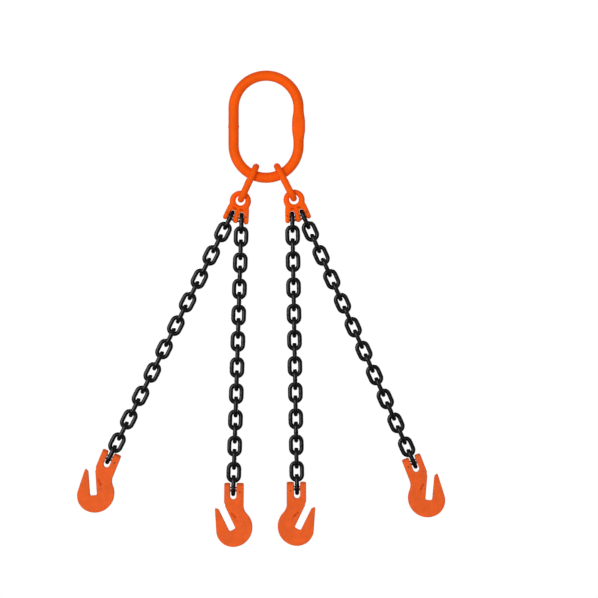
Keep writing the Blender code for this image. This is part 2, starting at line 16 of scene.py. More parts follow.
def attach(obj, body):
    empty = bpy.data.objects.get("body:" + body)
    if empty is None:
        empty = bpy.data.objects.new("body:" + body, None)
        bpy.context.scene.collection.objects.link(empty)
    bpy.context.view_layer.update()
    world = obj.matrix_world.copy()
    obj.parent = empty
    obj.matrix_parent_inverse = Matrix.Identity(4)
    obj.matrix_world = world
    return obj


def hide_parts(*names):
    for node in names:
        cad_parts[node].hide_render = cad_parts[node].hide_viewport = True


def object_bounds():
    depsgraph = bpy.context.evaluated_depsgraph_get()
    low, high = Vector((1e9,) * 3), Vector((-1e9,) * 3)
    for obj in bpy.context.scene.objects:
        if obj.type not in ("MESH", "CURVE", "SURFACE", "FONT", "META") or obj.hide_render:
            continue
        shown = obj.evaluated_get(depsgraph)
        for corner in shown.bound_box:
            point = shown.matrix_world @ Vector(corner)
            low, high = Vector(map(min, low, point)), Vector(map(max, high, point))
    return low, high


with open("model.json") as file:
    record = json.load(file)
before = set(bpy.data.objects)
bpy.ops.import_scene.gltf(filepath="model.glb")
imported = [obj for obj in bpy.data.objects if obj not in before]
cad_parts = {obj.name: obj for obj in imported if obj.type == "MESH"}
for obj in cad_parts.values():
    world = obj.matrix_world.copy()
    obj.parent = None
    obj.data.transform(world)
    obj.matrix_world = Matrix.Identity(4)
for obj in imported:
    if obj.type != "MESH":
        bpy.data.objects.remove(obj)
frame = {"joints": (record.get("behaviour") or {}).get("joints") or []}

bl_info = {
    "name": "Four Leg Chain Sling",
    "version": (1, 0, 0),
    "blender": (4, 5, 0),
    "location": "View3D > Sidebar > Sling",
    "description": "Links, connectors, chains, grab hooks and pins of a four leg chain sling",
    "category": "Add Mesh",
}

MM = 0.001
CAD_BOX = [list(corner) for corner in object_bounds()]
JOINTS = {joint["name"]: joint for joint in frame["joints"]}

HANDS = ("left", "right")
LEGS = ("outer_left", "inner_left", "inner_right", "outer_right")
CLEVIS_SIDE = {"outer_left": -1, "inner_left": 1, "inner_right": -1, "outer_right": 1}
LINKS_PER_LEG = 21

SQUARE = 0.5  # how round a section is, from 1 for an ellipse down to 0 for a rectangle
BARELY_SQUARE = 0.9
SHARP_EDGE = math.radians(38.0)

# A weld's half length is a share of its bar.  Its edge and its stations are in half lengths.
WELD_HALF_LENGTH = 0.22
WELD_EDGE = 1.5
WELD_STATIONS = (-2.0, -1.2, -0.7, -0.25, 0.25, 0.7, 1.2, 2.0)

# Chain
CHAIN_SEAT_GAP = 0.06 * MM  # taken off the bar where links seat in each other
CHAIN_WELD = 0.5  # share of the master link's weld
CHAIN_SIDES = 20
CHAIN_CROWN_STEPS = 18

# Master link, measured from the crane hook's seat
MASTER_INNER_LENGTH = 168.0 * MM
MASTER_INNER_WIDTH = 100.0 * MM
FLAT_WIDTH = 24.0 * MM
FLAT_THICKNESS = 14.0 * MM
FLAT_CORNER = 6.0 * MM
FLAT_HALF_LENGTH = 6.0 * MM
FLAT_TAPER = 23.5 * MM
FLAT_RISE = 2.0 * MM  # of its middle over the link's
MASTER_WELD_HALF_LENGTH = 1.6 * MM
MASTER_WELD_EDGE = 1.6  # in half lengths
MASTER_CROWN_STEPS = 48
MASTER_LIMB_STEPS = 34
QUARTER_POINTS = 10

# Intermediate links, measured from the master link's bar
INTERMEDIATE_INNER_LENGTH = 54.0 * MM
INTERMEDIATE_INNER_WIDTH = 25.0 * MM
INTERMEDIATE_SEAT_GAP = 0.5 * MM
INTERMEDIATE_WELD = 0.7  # share of the master link's weld
INTERMEDIATE_SIDES = 28
INTERMEDIATE_CROWN_STEPS = 24

# Twin clevis connector, measured from the middle of the eye's own bar
EYE_DROP = 14.75 * MM
EYE_RADIUS = 19.6 * MM
EYE_HOLE_RADIUS = 8.8 * MM
EYE_HOLE_RISE = 1.1 * MM
EYE_HALF_THICKNESS = 6.2 * MM
EYE_SIDES = 28
EYE_STEPS = 72
PIN_BELOW_EYE = 32.5 * MM
PIN_FROM_MIDDLE = 10.5 * MM
LEG_SPREAD = math.radians(12.0)
CLEVIS_HALF_SLOT = 4.1 * MM
SLOT_ROOT_RISE = 9.9 * MM
SLOT_ROOT_STEPS = 12
WEB_HALF_WIDTH = 7.0 * MM
WEB_TOP = 20.0 * MM
WEB_HALF_THICKNESS = 7.2 * MM
ROOT_DIMPLE = ((1.4 * MM, 17.6 * MM), (-2.2 * MM, 18.6 * MM))
PRONG_SIDES = 24
PRONG_ROOT_HALF_THICKNESS = 4.6 * MM
PRONG_HALF_THICKNESS = 9.0 * MM
PRONG_END_STEPS = 6
PRONG_END_TURN = math.radians(84.0)
PRONG_END_WIDTH = 0.75  # the end's narrowing, as powers of a cosine: the lower, the blunter
PRONG_END_THICKNESS = 0.5
PIN_SEAT_DEPTH = 3.6 * MM  # of a load pin's blind bore in the middle prong

# An outer prong's stations are (drop below its load pin, half width, half thickness)
PRONG_HALF_WIDTH = 4.5 * MM
PRONG_STATIONS = (
    (-24.5 * MM, 3.6 * MM, PRONG_ROOT_HALF_THICKNESS),
    (-17.0 * MM, PRONG_HALF_WIDTH, EYE_HALF_THICKNESS),
    (-6.0 * MM, PRONG_HALF_WIDTH, PRONG_HALF_THICKNESS),
)
PRONG_END = (2.8 * MM, 8.4 * MM)

# The middle prong's are measured from the eye's own bar
MIDDLE_PRONG_HALF_WIDTH = 5.4 * MM
MIDDLE_PRONG_NECK = 3.24 * MM
MIDDLE_PRONG_STATIONS = (
    (28.8 * MM, MIDDLE_PRONG_NECK, PRONG_ROOT_HALF_THICKNESS),
    (34.3 * MM, MIDDLE_PRONG_NECK, EYE_HALF_THICKNESS),
    (41.3 * MM, 4.752 * MM, PRONG_HALF_THICKNESS),
)
MIDDLE_PRONG_END = (50.0 * MM, 56.1 * MM)

# Pins
PIN_RADIUS = 5.0 * MM
PIN_RECESS = 0.3 * MM
PIN_CHAMFER = 0.7 * MM
PIN_SIDES = 40
SPRING_PIN_RADIUS = 1.5 * MM
SPRING_PIN_CHAMFER = 0.3 * MM
SPRING_PIN_SIDES = 24
SPRING_PIN_RECESS = 0.5 * MM
SPRING_PIN_COIL = 0.7 * MM  # radius of the hollow that the coil leaves at each end
SPRING_PIN_HOLLOW = 1.2 * MM
SPRING_PIN_SLIT = 0.2 * MM  # half its width
SPRING_PIN_SLIT_DEPTH = 1.1 * MM
SPRING_PIN_BITE = 0.04 * MM  # how much smaller than the pin its hole is, in radius
BORE_GAP = 0.15 * MM
BORE_REACH = 30.0 * MM  # far enough to leave any piece
PINNED_LINK_DROP = 6.625 * MM  # from a load pin's axis to the centre of its link

# Clevis grab hook, measured from its load pin
CHEEK_TOP = 11.4 * MM
CHEEK_END_RADIUS = 11.9 * MM
CHEEK_POINT_SIDE = -16.7 * MM
CHEEK_BACK_SIDE = 19.1 * MM
CHEEK_CORNER = 2.4 * MM
CHEEK_CORNER_STEPS = 4
CHEEK_HALF_THICKNESS = 10.0 * MM
HOOK_HALF_SLOT = 5.6 * MM
HOOK_SLOT_DEPTH = 19.0 * MM
HOOK_SLOT_STEPS = 16
NECK_TOP = -20.0 * MM
NECK_BOTTOM = -34.0 * MM
NECK_STEP = ((-16.7 * MM, -25.0 * MM), (-14.7 * MM, -28.3 * MM), (-14.5 * MM, -32.4 * MM))
NECK_FILLET = 22.0 * MM
NECK_FILLET_STEPS = 8
BOWL_BOTTOM = -106.0 * MM
BOWL_BACK_RADIUS = 35.7 * MM
BOWL_BACK_STEPS = 40
BOWL_POINT_RADIUS = 30.6 * MM
BOWL_POINT_STEPS = 26
BOWL_POINT_START = 184  # degrees from +X
BOWL_HALF_THICKNESS = 8.5 * MM
THROAT_HALF_WIDTH = 6.3 * MM
THROAT_LEAN = math.radians(26.4)
THROAT_BOTTOM = (-0.7 * MM, -75.0 * MM)
THROAT_CORNER = 2.4 * MM
THROAT_CORNER_STEPS = 5
POINT_TOP = -35.2 * MM
POINT_BASE = -66.0 * MM
POINT_OUTER = -33.4 * MM
POINT_TIP_WIDTH = 4.2 * MM
POINT_TIP_TURN = (30, 172)  # degrees from +X
POINT_TIP_STEPS = 8
POINT_HALF_THICKNESS = 5.5 * MM
NECK_DIMPLE = ((-1.8 * MM, -45.2 * MM), (4.4 * MM, -51.2 * MM))
NECK_DIMPLE_TAIL = ((4.4 * MM, -51.2 * MM), (8.4 * MM, -59.0 * MM))
TAIL_SHARE = 0.4  # of the dimple's depth
DIMPLE_WIDTH = 1.9 * MM  # the connector's dimples have it too

# Where a load pin starts in the middle prong, and where its spring pin crosses it
PIN_SEAT = -(CLEVIS_HALF_SLOT + PIN_SEAT_DEPTH)
CLEVIS_CROSS = Vector((CLEVIS_HALF_SLOT + PRONG_HALF_WIDTH, 0, PIN_RADIUS))
HOOK_CROSS = Vector(((HOOK_HALF_SLOT + CHEEK_BACK_SIDE) / 2, 0, -PIN_RADIUS))

# Stage.  A lamp has a diameter, an offset from the sling's middle, and whether it only gleams.
LAMPS = {
    "key": (5.5, (-2.5, -9.7, 1.0), False),
    "gleam": (7.0, (-6.5, -7.5, 2.2), True),
    "fill": (3.0, (0.0, 9.0, 3.0), False),
}
CAMERA_PLACE = (60.3 * MM, -9.13, -399.7 * MM)
CAMERA_LENS = 300.0
CAMERA_SENSOR = 36.0
CAMERA_REACH = 60.0
FLOOR_RADIUS = 3.0
FLOOR_SIDES = 96

UP = Vector((0, 0, 1))
DOWN = -UP
SIDEWAYS = Vector((1, 0, 0))
THICKNESS = Vector((0, 1, 0))


def linear(colour):
    """A linear RGBA colour from sRGB hex digits."""
    channels = [int(colour[at:at + 2], 16) / 255 for at in (1, 3, 5)]
    curve = (value / 12.92 if value <= 0.04045 else ((value + 0.055) / 1.055) ** 2.4
             for value in channels)
    return (*curve, 1.0)


WHITE = linear("#FFFFFF")


# ---- what a user would change ----------------------------------------------------------------


def length_property(name, description, default, **limits):
    return bpy.props.FloatProperty(
        name=name, description=description, default=default, unit="LENGTH", **limits)


def power_property(name, description, default):
    return bpy.props.FloatProperty(
        name=name, description=description, default=default, min=0.0, unit="POWER")


def colour_property(name, description, default):
    return bpy.props.FloatVectorProperty(
        name=name, description=description, default=linear(default), subtype="COLOR", size=4,
        min=0.0, max=1.0)


class LinkSizes(bpy.types.PropertyGroup):
    master_bar: length_property("Master bar", "Diameter of the master link's bar", 19.0 * MM)
    intermediate_bar: length_property(
        "Intermediate bar", "Diameter of an intermediate link's bar", 12.0 * MM)
    chain_bar: length_property("Chain bar", "Diameter of the chain's bar", 8.0 * MM)
    chain_inner_length: length_property("Chain pitch", "Inner length of a chain link", 24.0 * MM)
    chain_inner_width: length_property("Chain width", "Inner width of a chain link", 11.5 * MM)
    weld_share: bpy.props.FloatProperty(
        name="Weld", description="How far a weld stands out, as a share of the bar's diameter",
        default=0.045, subtype="FACTOR", min=0.0, max=0.1)


class ForgingSizes(bpy.types.PropertyGroup):
    voxel: length_property("Grain", "Mesh size of a forging", 0.85 * MM, min=0.4 * MM)
    rounding: bpy.props.IntProperty(
        name="Rounding", description="Passes that round a forging's edges", default=13, min=1,
        max=40)
    neck_dimple: length_property("Neck dimple", "Depth of the dimple in a hook's neck", 2.2 * MM)
    root_dimple: length_property(
        "Root dimple", "Depth of the dimples over a connector's slots", 2.8 * MM)


class Finishes(bpy.types.PropertyGroup):
    fitting_orange: colour_property("Fittings", "Powder coat of links and connectors", "#F75A0E")
    hook_orange: colour_property("Hooks", "Powder coat of the grab hooks", "#E55A1A")
    chain_black: colour_property("Chain", "Lacquer of the chain", "#040404")
    pin_steel: colour_property("Load pins", "Ground steel of the load pins", "#94898A")
    spring_steel: colour_property("Spring pins", "Oiled steel of the spring pins", "#5A2C1A")


class Studio(bpy.types.PropertyGroup):
    ambient: bpy.props.FloatProperty(
        name="Ambient", description="Strength of the light from all round", default=0.38,
        min=0.0)
    key: power_property("Key", "Power of the lamp in front", 575.0)
    gleam: power_property(
        "Gleam", "Power of the lamp on the left, which only reflections show", 2700.0)
    fill: power_property("Fill", "Power of the lamp behind", 330.0)
    floor_drop: length_property("Floor", "How far the floor lies below the crane hook", 1.2)


# ---- materials -------------------------------------------------------------------------------


def add(tree, kind, settings=None, links=None):
    """Adds a node.  Settings go to its inputs, or else its attributes.  Links go to its inputs."""
    node = tree.nodes.new(kind)
    for name, value in (settings or {}).items():
        if isinstance(name, int) or name in node.inputs:
            node.inputs[name].default_value = value
        else:
            setattr(node, name, value)
    for name, socket in (links or {}).items():
        tree.links.new(socket, node.inputs[name])
    return node


def new_material(name, **constants):
    """A material, its node tree, its shader and the object's own coordinates."""
    material = bpy.data.materials.new(name)
    material.use_nodes = True
    shader = material.node_tree.nodes["Principled BSDF"]
    for socket, value in constants.items():
        shader.inputs[socket.replace("_", " ")].default_value = value
    place = add(material.node_tree, "ShaderNodeTexCoord").outputs["Object"]
    return material, material.node_tree, shader, place


def per_metre(millimetres):
    """The texture scale that repeats about once in this many millimetres."""
    return 1 / (millimetres * MM)


def shade(colour, factor):
    return (*[min(1.0, channel * factor) for channel in colour[:3]], 1.0)


def noise(tree, place, millimetres, detail, **settings):
    """Noise with features of about this size, from 0 to 1."""
    scale = {"Scale": per_metre(millimetres), "Detail": detail}
    return add(tree, "ShaderNodeTexNoise", scale | settings, {"Vector": place}).outputs["Fac"]


def ramp(tree, factor, low, high):
    """A colour that runs between two stops, each given as its position and colour."""
    node = add(tree, "ShaderNodeValToRGB", links={"Fac": factor})
    for stop, (position, colour) in zip(node.color_ramp.elements, (low, high)):
        stop.position = position
        stop.color = colour
    return node.outputs["Color"]


def spread(tree, value, low, high, start=0.0, end=1.0):
    """A value that runs from low to high while the one that it is given runs from start to end."""
    settings = {"From Min": start, "From Max": end, "To Min": low, "To Max": high}
    return add(tree, "ShaderNodeMapRange", settings, {"Value": value}).outputs["Result"]


def relief(tree, height, strength, millimetres, under=None):
    """A normal bent by a bump this deep, over another bump if there is one."""
    links = {"Height": height} | ({"Normal": under} if under else {})
    settings = {"Strength": strength, "Distance": millimetres * MM}
    return add(tree, "ShaderNodeBump", settings, links).outputs["Normal"]


def blend(tree, factor, below, above):
    """A colour that passes from the one below to the constant one above."""
    settings = {"data_type": "RGBA", 7: above}
    return add(tree, "ShaderNodeMix", settings, {0: factor, 6: below}).outputs[2]


def wire(tree, shader, **sockets):
    for name, socket in sockets.items():
        tree.links.new(socket, shader.inputs[name.replace("_", " ")])


def pointiness(tree):
    """How sharp the shape is: 0.5 on a flat face, more on an edge and less in a hollow."""
    return add(tree, "ShaderNodeNewGeometry").outputs["Pointiness"]


def shaded_in_hollows(tree, colour, tone):
    """The tone of a coat, with painted shade that darkens its hollows."""
    # painted shade: the colour darkens where the surface is hollow, as in dimples and slot roots
    hollow_shade = spread(tree, pointiness(tree), 0.0, 0.6, start=0.49, end=0.455)
    return blend(tree, hollow_shade, tone, shade(colour, 0.25))


def powder_coated_steel(colour):
    """Polyester powder coat baked on forged steel: smooth and satin, with a fine orange peel."""
    material, tree, shader, place = new_material(
        "powder_coated_steel", Metallic=0.0, IOR=1.25, Specular_Tint=linear("#FF9448"))
    # the coat lies a little thicker here and thinner there, in patches a few centimetres long
    patches = noise(tree, place, 28, 3.0)
    tone = ramp(tree, patches, (0.35, shade(colour, 0.93)), (0.65, shade(colour, 1.04)))
    # gloss wanders with the baking
    gloss = spread(tree, patches, 0.60, 0.70)
    # orange peel, 1.6 mm from crest to crest, and the forged skin under it, 9 mm
    peel = relief(tree, noise(tree, place, 1.6, 1.0), 0.35, 0.05)
    swell = relief(tree, noise(tree, place, 9, 2.0), 0.5, 0.25, under=peel)
    # the base colour carries painted shade in the hollows
    wire(tree, shader, Base_Color=shaded_in_hollows(tree, colour, tone), Roughness=gloss, Normal=swell)
    return material


def coated_forging(colour):
    """Powder coat over a shot blasted drop forging: duller, with a pitted skin and uneven tone."""
    material, tree, shader, place = new_material(
        "coated_drop_forging", Metallic=0.0, IOR=1.25, Specular_Tint=linear("#FFD8C0"))
    # tone wanders in soft blotches of about 14 mm, with finer ones in them
    blotches = noise(tree, place, 14, 4.0, Roughness=0.6)
    tone = ramp(tree, blotches, (0.30, shade(colour, 0.86)), (0.70, shade(colour, 1.08)))
    # the colour darkens over sharp edges: partly the coat drawn thin, where the dark forging shows
    # through, and partly painted shade where the edges turn from the light
    thin_coat_and_edge_shade = spread(tree, pointiness(tree), 0.0, 0.75, start=0.52, end=0.62)
    worn_and_edge_shaded = blend(tree, thin_coat_and_edge_shade, tone, shade(colour, 0.45))
    gloss = spread(tree, blotches, 0.64, 0.78)
    # blasting leaves pits of about 0.8 mm, drawn at 1.2 mm so that they show
    pits = add(tree, "ShaderNodeTexVoronoi", {"Scale": per_metre(1.2), "feature": "SMOOTH_F1"},
               {"Vector": place})
    skin = relief(tree, pits.outputs["Distance"], 0.3, 0.08)
    swell = relief(tree, noise(tree, place, 6, 3.0), 0.6, 0.35, under=skin)
    # the base colour carries painted shade on the edges and in the hollows
    wire(tree, shader, Base_Color=shaded_in_hollows(tree, colour, worn_and_edge_shaded), Roughness=gloss, Normal=swell)
    return material


def lacquered_chain_steel(colour):
    """Dipped black lacquer on alloy chain: dark and glossy, with a soft grey gleam on each bar."""
    material, tree, shader, place = new_material("lacquered_chain_steel", Metallic=0.0, IOR=1.17)
    # the dip runs and thins, which shows as duller patches of about 7 mm
    runs = noise(tree, place, 7, 3.0)
    tone = ramp(tree, runs, (0.35, shade(colour, 0.7)), (0.70, shade(colour, 1.5)))
    gloss = spread(tree, runs, 0.24, 0.32)
    # drawn wire skin under the lacquer, 1 mm grain
    grain = relief(tree, noise(tree, place, 1.0, 2.0), 0.15, 0.02)
    wire(tree, shader, Base_Color=tone, Roughness=gloss, Normal=grain)
    return material


def ground_pin_steel(colour):
    """Centreless ground steel: bright, with the fine marks that the wheel leaves."""
    material, tree, shader, place = new_material("ground_pin_steel", Metallic=1.0, Roughness=0.28)
    # grinding marks are far finer than 0.5 mm, drawn at that so that they show
    marks = noise(tree, place, 0.5, 1.0)
    tone = ramp(tree, marks, (0.3, shade(colour, 0.88)), (0.7, shade(colour, 1.05)))
    wire(tree, shader, Base_Color=tone, Normal=relief(tree, marks, 0.2, 0.02))
    return material


def oiled_spring_steel(colour):
    """Hardened and oiled strip rolled to a slotted tube: dark, with a brown cast from tempering."""
    material, tree, shader, place = new_material("oiled_spring_steel", Metallic=1.0, Roughness=0.4)
    # the cast of tempering runs in bands of about 2.5 mm
    temper = noise(tree, place, 2.5, 2.0)
    tone = ramp(tree, temper, (0.35, shade(colour, 0.75)), (0.65, shade(colour, 1.15)))
    wire(tree, shader, Base_Color=tone)
    return material


# ---- meshes ----------------------------------------------------------------------------------


def finish_mesh(name, shape):
    bmesh.ops.recalc_face_normals(shape, faces=shape.faces)
    mesh = bpy.data.meshes.new(name)
    shape.to_mesh(mesh)
    shape.free()
    return mesh


def loft(name, rings, closed):
    """Skins rings of points.  A closed loft joins its last ring to its first, others are capped."""
    shape = bmesh.new()
    sections = [[shape.verts.new(point) for point in ring] for ring in rings]
    pairs = list(zip(sections, sections[1:]))
    if closed:
        pairs.append((sections[-1], sections[0]))
    for ring, next_ring in pairs:
        for here, corner in enumerate(ring):
            there = (here + 1) % len(ring)
            shape.faces.new((corner, ring[there], next_ring[there], next_ring[here]))
    if not closed:
        shape.faces.new(sections[0])
        shape.faces.new(sections[-1])
    return finish_mesh(name, shape)


def plate(name, outline, half_thickness):
    """A plate in the XZ plane, from points (x, z) round its outline."""
    shape = bmesh.new()
    front = [shape.verts.new((x, -half_thickness, z)) for x, z in outline]
    back = [shape.verts.new((x, half_thickness, z)) for x, z in outline]
    shape.faces.new(front)
    shape.faces.new(back)
    for here, corner in enumerate(front):
        there = (here + 1) % len(front)
        shape.faces.new((corner, front[there], back[there], back[here]))
    return finish_mesh(name, shape)


def joined(*meshes):
    shape = bmesh.new()
    for mesh in meshes:
        shape.from_mesh(mesh)
    return finish_mesh("joined", shape)


def moved(mesh, matrix):
    copy = mesh.copy()
    copy.transform(matrix)
    return copy


def with_modifiers(mesh, *recipes):
    """The mesh that modifiers leave, each given as its kind and settings."""
    item = bpy.data.objects.new("workpiece", mesh)
    bpy.context.scene.collection.objects.link(item)
    for kind, settings in recipes:
        modifier = item.modifiers.new(kind, kind)
        for name, value in settings.items():
            setattr(modifier, name, value)
    graph = bpy.context.evaluated_depsgraph_get()
    result = bpy.data.meshes.new_from_object(item.evaluated_get(graph))
    bpy.data.objects.remove(item)
    return result


def forged(mesh, sizes):
    """One skin over all of the mesh, with its edges rounded as a forging's are."""
    return with_modifiers(
        mesh,
        ("REMESH", {"mode": "VOXEL", "voxel_size": sizes.voxel}),
        ("SMOOTH", {"factor": 0.5, "iterations": sizes.rounding}),
    )


def cut(mesh, tool):
    cutter = bpy.data.objects.new("cutter", tool)
    bpy.context.scene.collection.objects.link(cutter)
    settings = {"operation": "DIFFERENCE", "solver": "EXACT", "object": cutter}
    result = with_modifiers(mesh, ("BOOLEAN", settings))
    bpy.data.objects.remove(cutter)
    return result


def press(mesh, start, end, width, depth, half_thickness):
    """Presses the same groove into both faces of a forging, along a line between (x, z) points."""
    start, end = Vector(start), Vector(end)
    line = end - start
    for vert in mesh.vertices:
        offset = Vector((vert.co.x, vert.co.z)) - start
        along = min(max(offset.dot(line) / line.length_squared, 0.0), 1.0)
        away = (offset - line * along).length
        vert.co.y *= 1 - depth / half_thickness * math.exp(-((away / width) ** 2))


def circle(across, other, sides):
    """Unit vectors round a circle in the plane of two directions."""
    turns = [math.tau * side / sides for side in range(sides)]
    return [across * math.cos(turn) + other * math.sin(turn) for turn in turns]


def turned(name, profile, sides, axis):
    """A bar turned about the X or Y axis from a profile of (along, radius)."""
    spokes = circle(axis.cross(UP), UP, sides)
    rings = [[axis * along + spoke * radius for spoke in spokes] for along, radius in profile]
    return loft(name, rings, closed=False)


def bore(radius, start, end, axis):
    return turned("bore", ((start, radius), (end, radius)), PIN_SIDES, axis)


def spring_pin_hole(place):
    """What is cut away for a spring pin, at its place."""
    hole = bore(SPRING_PIN_RADIUS - SPRING_PIN_BITE, -BORE_REACH, BORE_REACH, THICKNESS)
    return moved(hole, place)


def squared(sides, power):
    """Points (wide, thick) round a unit section between an ellipse and a rectangle."""
    turns = [math.tau * side / sides for side in range(sides)]
    return [[math.copysign(abs(value) ** power, value)
             for value in (math.cos(turn), math.sin(turn))] for turn in turns]


def smoothstep(value):
    value = min(max(value, 0.0), 1.0)
    return value * value * (3 - 2 * value)


def link_route(straight, radius, crown_steps, limb_stations):
    """Stations (centre, outward, height) round a link in the XZ plane.

    A crown's stations have None as their height.
    """
    route = []
    for end in (1, -1):
        for step in range(crown_steps + 1):
            turn = math.pi * step / crown_steps
            outward = Vector((math.cos(turn), 0, math.sin(turn))) * end
            route.append((outward * radius + Vector((0, 0, end * straight / 2)), outward, None))
        for height in limb_stations:
            centre = Vector((-end * radius, 0, -end * height))
            route.append((centre, Vector((-end, 0, 0)), -end * height))
    return route


def welded_link(name, bar, inner_length, inner_width, weld, sides, crown_steps):
    """A link of round bar, centred on the origin in the XZ plane, with its weld on the -X limb."""
    straight = inner_length - inner_width
    weld_half = bar * WELD_HALF_LENGTH
    limb = [share * weld_half for share in WELD_STATIONS]
    limb = [height for height in limb if abs(height) < straight / 2]
    rings = []
    for centre, outward, height in link_route(straight, (inner_width + bar) / 2, crown_steps, limb):
        radius = bar / 2
        if height is not None and outward.x < 0:
            radius += bar * weld * smoothstep(WELD_EDGE - abs(height) / weld_half)
        rings.append([centre + spoke * radius for spoke in circle(outward, THICKNESS, sides)])
    return loft(name, rings, closed=True)


def master_section(bar, flatness, swell):
    """Points (outward, thickness) that run from a round bar to a flattened one."""
    points = []
    for quarter in range(4):
        for step in range(QUARTER_POINTS):
            # even steps round the bar, and from end to end of the flat's rounded corner
            around = math.tau / 4 * (quarter + (step + 0.5) / QUARTER_POINTS)
            turn = math.tau / 4 * (quarter + step / (QUARTER_POINTS - 1))
            on_round = Vector((math.cos(around), math.sin(around))) * (bar / 2 + swell)
            corner = Vector((
                math.copysign(FLAT_WIDTH / 2 - FLAT_CORNER, on_round.x),
                math.copysign(FLAT_THICKNESS / 2 - FLAT_CORNER, on_round.y),
            ))
            on_flat = corner + Vector((math.cos(turn), math.sin(turn))) * FLAT_CORNER
            points.append(on_round.lerp(on_flat, flatness))
    return points


def master_link(sizes):
    """The master link, with its flattened limb on +X and its weld on -X."""
    bar = sizes.master_bar
    straight = MASTER_INNER_LENGTH - MASTER_INNER_WIDTH
    radius = (MASTER_INNER_WIDTH + bar) / 2
    limb = [straight * (step / MASTER_LIMB_STEPS - 0.5) for step in range(1, MASTER_LIMB_STEPS)]
    rings = []
    for centre, outward, height in link_route(straight, radius, MASTER_CROWN_STEPS, limb):
        flatness = swell = 0.0
        if height is not None and outward.x > 0:
            flatness = smoothstep(1 - (abs(height - FLAT_RISE) - FLAT_HALF_LENGTH) / FLAT_TAPER)
        elif height is not None:
            edge = smoothstep(MASTER_WELD_EDGE - abs(height) / MASTER_WELD_HALF_LENGTH)
            swell = bar * sizes.weld_share * edge
        rings.append([centre + outward * point.x + THICKNESS * point.y
                      for point in master_section(bar, flatness, swell)])
    mesh = loft("master_link", rings, closed=True)
    mesh.transform(Matrix.Translation(DOWN * (MASTER_INNER_LENGTH / 2)))
    return mesh


def intermediate_link(sizes):
    """An intermediate link in the YZ plane, hung on the master link's bar at the origin."""
    bar = sizes.intermediate_bar
    ring = welded_link("intermediate_link", bar, INTERMEDIATE_INNER_LENGTH,
                       INTERMEDIATE_INNER_WIDTH, sizes.weld_share * INTERMEDIATE_WELD,
                       INTERMEDIATE_SIDES, INTERMEDIATE_CROWN_STEPS)
    drop = INTERMEDIATE_INNER_LENGTH / 2 - sizes.master_bar / 2 - INTERMEDIATE_SEAT_GAP
    ring.transform(Matrix.Translation(DOWN * drop) @ Matrix.Rotation(math.radians(90.0), 4, "Z"))
    return ring


# ---- twin clevis connector -------------------------------------------------------------------


def eye():
    """The eye's bar, drawn about its hole.  The hole sits high, so the bar is heavier below it."""
    rings = []
    for outward in circle(SIDEWAYS, UP, EYE_STEPS):
        rim = math.sqrt(EYE_RADIUS ** 2 - (EYE_HOLE_RISE * outward.x) ** 2)
        rim -= EYE_HOLE_RISE * outward.z
        middle, half_width = (rim + EYE_HOLE_RADIUS) / 2, (rim - EYE_HOLE_RADIUS) / 2
        rings.append([
            outward * (middle + half_width * wide) + THICKNESS * (EYE_HALF_THICKNESS * thick)
            for wide, thick in squared(EYE_SIDES, BARELY_SQUARE)])
    return loft("eye", rings, closed=True)


def prong(stations):
    """A bar with rounded corners that runs down through (drop, half width, half thickness)."""
    rings = [[Vector((wide * half_width, thick * half_thickness, -drop))
              for wide, thick in squared(PRONG_SIDES, SQUARE)]
             for drop, half_width, half_thickness in stations]
    return loft("prong", rings, closed=False)


def rounded_end(start, tip, half_width):
    """Stations of a prong's end, rounded both ways."""
    stations = ()
    for step in range(PRONG_END_STEPS + 1):
        turn = PRONG_END_TURN * step / PRONG_END_STEPS
        drop = start + (tip - start) * math.sin(turn)
        width = half_width * math.cos(turn) ** PRONG_END_WIDTH
        thickness = PRONG_HALF_THICKNESS * math.cos(turn) ** PRONG_END_THICKNESS
        stations += ((drop, width, thickness),)
    return stations


def clevis_place(side):
    """Where what is drawn about a load pin lies on a connector, with +X away from its middle."""
    pin = Vector((side * PIN_FROM_MIDDLE, 0, -EYE_DROP - PIN_BELOW_EYE))
    return Matrix.Translation(pin) @ Matrix.Rotation(-side * LEG_SPREAD, 4, "Y")


def slot_root():
    """The web that closes the top of a slot with a round arch, drawn about the load pin."""
    outline = arc((0.0, SLOT_ROOT_RISE), CLEVIS_HALF_SLOT, 0, 180, SLOT_ROOT_STEPS)
    outline += [(-WEB_HALF_WIDTH, SLOT_ROOT_RISE), (-WEB_HALF_WIDTH, WEB_TOP),
                (WEB_HALF_WIDTH, WEB_TOP), (WEB_HALF_WIDTH, SLOT_ROOT_RISE)]
    return plate("slot_root", outline, WEB_HALF_THICKNESS)


def twin_clevis(sizes):
    """A connector, hung from its eye's bar at the origin."""
    outer = prong(PRONG_STATIONS + rounded_end(*PRONG_END, PRONG_HALF_WIDTH))
    outer.transform(Matrix.Translation(SIDEWAYS * (CLEVIS_HALF_SLOT + PRONG_HALF_WIDTH)))
    middle = prong(MIDDLE_PRONG_STATIONS + rounded_end(*MIDDLE_PRONG_END, MIDDLE_PRONG_HALF_WIDTH))
    mirror = Matrix.Diagonal((-1, 1, 1, 1))
    body = forged(joined(
        moved(eye(), Matrix.Translation(DOWN * (EYE_DROP - EYE_HOLE_RISE))),
        middle,
        *(moved(piece, clevis_place(side) @ turn) for piece in (outer, slot_root())
          for side, turn in ((1, Matrix.Identity(4)), (-1, mirror))),
    ), sizes)
    for side in (1, -1):
        place = clevis_place(side)
        start, end = (place @ Vector((side * x, 0, z)) for x, z in ROOT_DIMPLE)
        press(body, start.xz, end.xz, DIMPLE_WIDTH, sizes.root_dimple, WEB_HALF_THICKNESS)
        pin_bore = bore(PIN_RADIUS + BORE_GAP, PIN_SEAT, BORE_REACH, SIDEWAYS * side)
        body = cut(body, moved(pin_bore, place))
        cross = Vector((side * CLEVIS_CROSS.x, 0, CLEVIS_CROSS.z))
        body = cut(body, spring_pin_hole(place @ Matrix.Translation(cross)))
    return body


